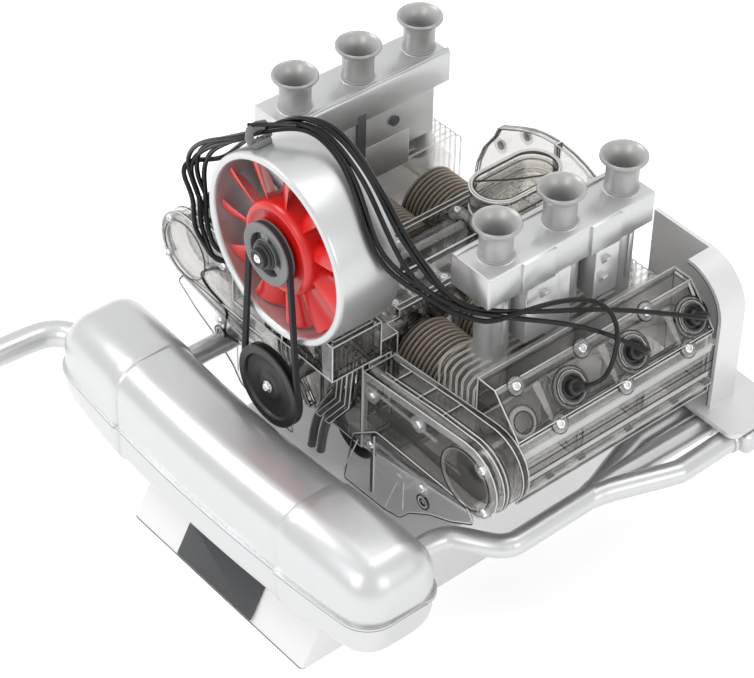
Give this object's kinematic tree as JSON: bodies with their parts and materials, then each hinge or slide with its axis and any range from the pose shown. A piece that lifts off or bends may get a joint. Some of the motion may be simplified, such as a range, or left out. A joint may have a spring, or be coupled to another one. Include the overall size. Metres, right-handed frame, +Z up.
{
  "type": "engine display model",
  "caption": "Display model of a flat engine with clear case, bladed cooling fan, belt drive, intake trumpets, exhaust and muffler, on a plinth.",
  "frame": {"origin": "on the plinth's flat underside, below the crank axis and the middle pair of cylinders", "axes": "+Z up; +Y along the crank axis towards the clutch end, the fan and muffler at -Y; +X towards the right bank, the one with the rear shroud"},
  "size_m": [0.2295, 0.2039, 0.191],
  "materials": {
    "smoky_clear": "clear, smoked",
    "satin_silver": "satin",
    "warm_grey": "semi-gloss",
    "fan_red": "gloss",
    "pulley_grey": "satin",
    "black_plastic": "satin",
    "belt_rubber": "matte",
    "barrel_taupe": "satin",
    "bright_steel": "bright",
    "white_plastic": "matte"
  },
  "bodies": {
    "engine": {"breather_box": "smoky_clear", "cam_housing_left": "smoky_clear", "cam_housing_right": "smoky_clear", "chain_housing_left": "smoky_clear", "chain_housing_right": "smoky_clear", "crankcase_left": "smoky_clear", "crankcase_right": "smoky_clear", "cylinder_1": "barrel_taupe", "cylinder_2": "barrel_taupe", "cylinder_3": "barrel_taupe", "cylinder_4": "barrel_taupe", "cylinder_5": "barrel_taupe", "cylinder_6": "barrel_taupe", "cylinder_head_left": "smoky_clear", "cylinder_head_right": "smoky_clear", "display_base": "white_plastic", "exhaust_manifold_left": "satin_silver", "exhaust_manifold_right": "satin_silver", "fan_belt": "belt_rubber", "fan_housing": "satin_silver", "ignition_harness": "black_plastic", "intake_manifold_left": "satin_silver", "intake_manifold_right": "satin_silver", "muffler_lower": "satin_silver", "muffler_upper": "satin_silver", "rear_shroud": "satin_silver", "timing_chain_left": "bright_steel", "timing_chain_right": "bright_steel", "trumpet_1": "warm_grey", "trumpet_2": "warm_grey", "trumpet_3": "warm_grey", "trumpet_4": "warm_grey", "trumpet_5": "warm_grey", "trumpet_6": "warm_grey", "valve_cover_left": "smoky_clear", "valve_cover_right": "smoky_clear"},
    "crankshaft": {"crankshaft_nose": "bright_steel", "crank_web_1": "bright_steel", "crank_journal_1": "bright_steel", "crank_web_2": "bright_steel", "crank_journal_2": "bright_steel", "crank_web_3": "bright_steel", "crankshaft_tail": "bright_steel", "crank_pulley": "black_plastic"},
    "fan": {"fan": "fan_red", "fan_pulley": "pulley_grey"},
    "camshaft_left": {"camshaft_left": "bright_steel"},
    "camshaft_right": {"camshaft_right": "bright_steel"},
    "piston_1": {"piston_1": "bright_steel"},
    "conrod_1": {"conrod_1": "bright_steel"},
    "piston_2": {"piston_2": "bright_steel"},
    "conrod_2": {"conrod_2": "bright_steel"},
    "piston_3": {"piston_3": "bright_steel"},
    "conrod_3": {"conrod_3": "bright_steel"},
    "piston_4": {"piston_4": "bright_steel"},
    "conrod_4": {"conrod_4": "bright_steel"},
    "piston_5": {"piston_5": "bright_steel"},
    "conrod_5": {"conrod_5": "bright_steel"},
    "piston_6": {"piston_6": "bright_steel"},
    "conrod_6": {"conrod_6": "bright_steel"}
  },
  "joints": [
    {"name": "crankshaft_turn", "type": "hinge", "parent": "engine", "child": "crankshaft", "pos_m": [0, 0, 0.088], "axis": [0, 1, 0], "continuous": true},
    {"name": "fan_turn", "type": "hinge", "parent": "engine", "child": "fan", "pos_m": [0, 0, 0.1487], "axis": [0, 1, 0], "continuous": true},
    {"name": "camshaft_left_turn", "type": "hinge", "parent": "engine", "child": "camshaft_left", "pos_m": [-0.0795, 0, 0.088], "axis": [0, 1, 0], "continuous": true},
    {"name": "camshaft_right_turn", "type": "hinge", "parent": "engine", "child": "camshaft_right", "pos_m": [0.0795, 0, 0.088], "axis": [0, 1, 0], "continuous": true},
    {"name": "piston_1_stroke", "type": "slide", "parent": "engine", "child": "piston_1", "axis": [-1, 0, 0], "range_m": [-0.01511, 0.00139]},
    {"name": "conrod_1_swing", "type": "hinge", "parent": "piston_1", "child": "conrod_1", "pos_m": [-0.03686, -0.0295, 0.088], "axis": [0, 1, 0], "range_deg": [-23.86, 8.06]},
    {"name": "piston_2_stroke", "type": "slide", "parent": "engine", "child": "piston_2", "axis": [-1, 0, 0], "range_m": [-0.00082, 0.01568]},
    {"name": "conrod_2_swing", "type": "hinge", "parent": "piston_2", "child": "conrod_2", "pos_m": [-0.02257, 0, 0.088], "axis": [0, 1, 0], "range_deg": [-23.86, 8.06]},
    {"name": "piston_3_stroke", "type": "slide", "parent": "engine", "child": "piston_3", "axis": [-1, 0, 0], "range_m": [-0.00709, 0.00941]},
    {"name": "conrod_3_swing", "type": "hinge", "parent": "piston_3", "child": "conrod_3", "pos_m": [-0.02884, 0.0295, 0.088], "axis": [0, 1, 0], "range_deg": [0, 31.92]},
    {"name": "piston_4_stroke", "type": "slide", "parent": "engine", "child": "piston_4", "axis": [1, 0, 0], "range_m": [-0.01511, 0.00139]},
    {"name": "conrod_4_swing", "type": "hinge", "parent": "piston_4", "child": "conrod_4", "pos_m": [0.03686, -0.0295, 0.088], "axis": [0, 1, 0], "range_deg": [-23.86, 8.06]},
    {"name": "piston_5_stroke", "type": "slide", "parent": "engine", "child": "piston_5", "axis": [1, 0, 0], "range_m": [-0.00082, 0.01568]},
    {"name": "conrod_5_swing", "type": "hinge", "parent": "piston_5", "child": "conrod_5", "pos_m": [0.02257, 0, 0.088], "axis": [0, 1, 0], "range_deg": [-23.86, 8.06]},
    {"name": "piston_6_stroke", "type": "slide", "parent": "engine", "child": "piston_6", "axis": [1, 0, 0], "range_m": [-0.00709, 0.00941]},
    {"name": "conrod_6_swing", "type": "hinge", "parent": "piston_6", "child": "conrod_6", "pos_m": [0.02884, 0.0295, 0.088], "axis": [0, 1, 0], "range_deg": [0, 31.92]}
  ],
  "couplings": [
    {"joint": "fan_turn", "follows": "crankshaft_turn", "ratio": 1.4574},
    {"joint": "camshaft_left_turn", "follows": "crankshaft_turn", "ratio": 0.5},
    {"joint": "camshaft_right_turn", "follows": "crankshaft_turn", "ratio": 0.5}
  ]
}
